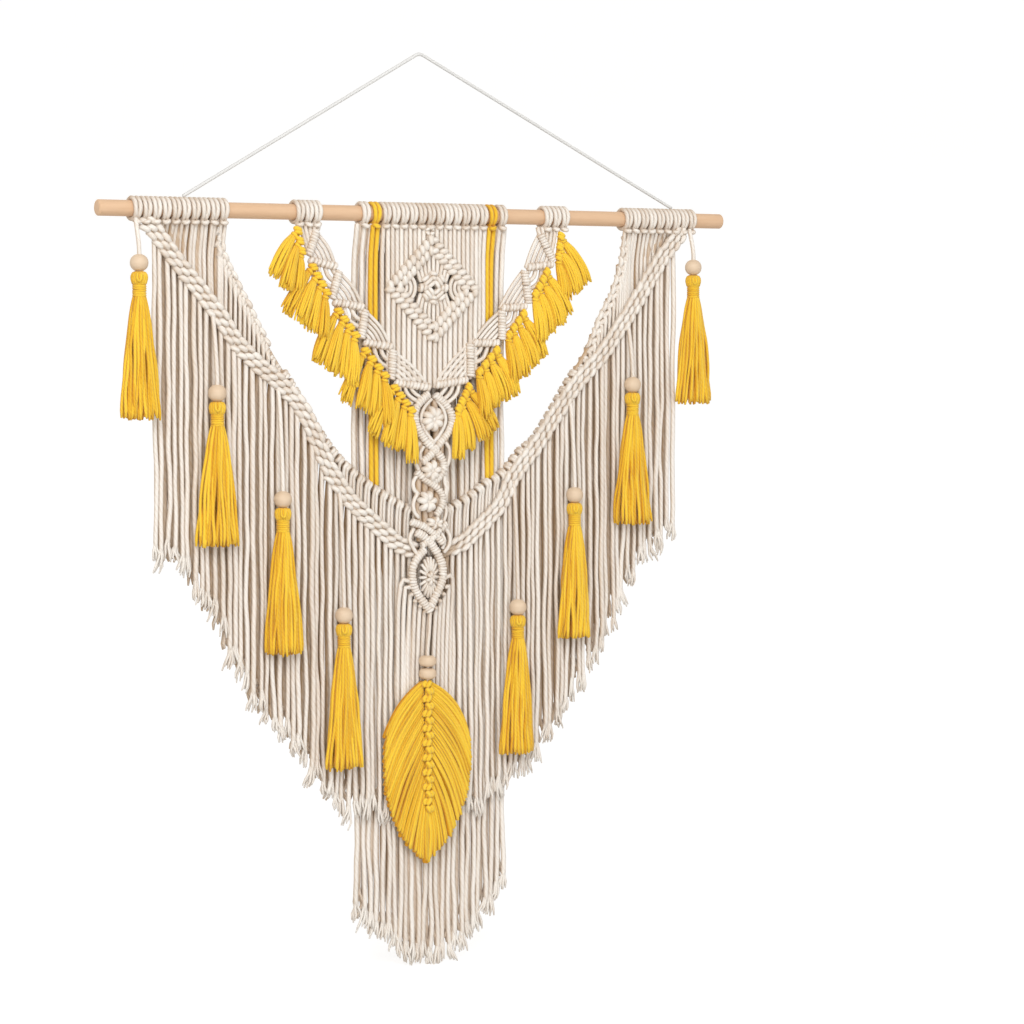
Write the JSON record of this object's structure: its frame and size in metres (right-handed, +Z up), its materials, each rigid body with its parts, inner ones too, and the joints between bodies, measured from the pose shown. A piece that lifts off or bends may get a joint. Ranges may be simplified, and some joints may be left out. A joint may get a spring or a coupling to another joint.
{
  "type": "macrame wall hanging with wooden dowel",
  "caption": "Knotted cotton wall hanging on a plain wooden dowel: cream curtain wings, zigzag net and diamond, yellow fringe, tassels with wooden beads and a leaf.",
  "frame": {"origin": "the point at the top of the hanging cord where it lies over its nail", "axes": "+Z up, -Y to the front, +X to the right along the dowel as seen from the front"},
  "size_m": [0.74, 0.0368, 0.9419],
  "materials": {
    "cream_cotton": "matte",
    "yellow_cotton": "matte",
    "white_cord": "matte",
    "beech_dowel": "matte",
    "bead_wood": "satin"
  },
  "bodies": {
    "root": {"dowel": "beech_dowel", "hanger_cord": "white_cord", "main_panel": "cream_cotton", "zigzag_net": "cream_cotton", "centre_column": "cream_cotton", "braid_left": "cream_cotton", "braid_right": "cream_cotton", "yellow_pair_left": "yellow_cotton", "yellow_pair_right": "yellow_cotton", "fringe_left_1": "yellow_cotton", "fringe_left_2": "yellow_cotton", "fringe_left_3": "yellow_cotton", "fringe_left_4": "yellow_cotton", "fringe_left_5": "yellow_cotton", "fringe_right_1": "yellow_cotton", "fringe_right_2": "yellow_cotton", "fringe_right_3": "yellow_cotton", "fringe_right_4": "yellow_cotton", "fringe_right_5": "yellow_cotton", "bead_left_1": "bead_wood", "bead_left_2": "bead_wood", "bead_left_3": "bead_wood", "bead_left_4": "bead_wood", "bead_right_1": "bead_wood", "bead_right_2": "bead_wood", "bead_right_3": "bead_wood", "bead_right_4": "bead_wood", "tassel_left_1": "yellow_cotton", "tassel_left_2": "yellow_cotton", "tassel_left_3": "yellow_cotton", "tassel_left_4": "yellow_cotton", "tassel_right_1": "yellow_cotton", "tassel_right_2": "yellow_cotton", "tassel_right_3": "yellow_cotton", "tassel_right_4": "yellow_cotton", "leaf_bead_upper": "bead_wood", "leaf_bead_lower": "bead_wood", "leaf": "yellow_cotton"}
  },
  "joints": []
}
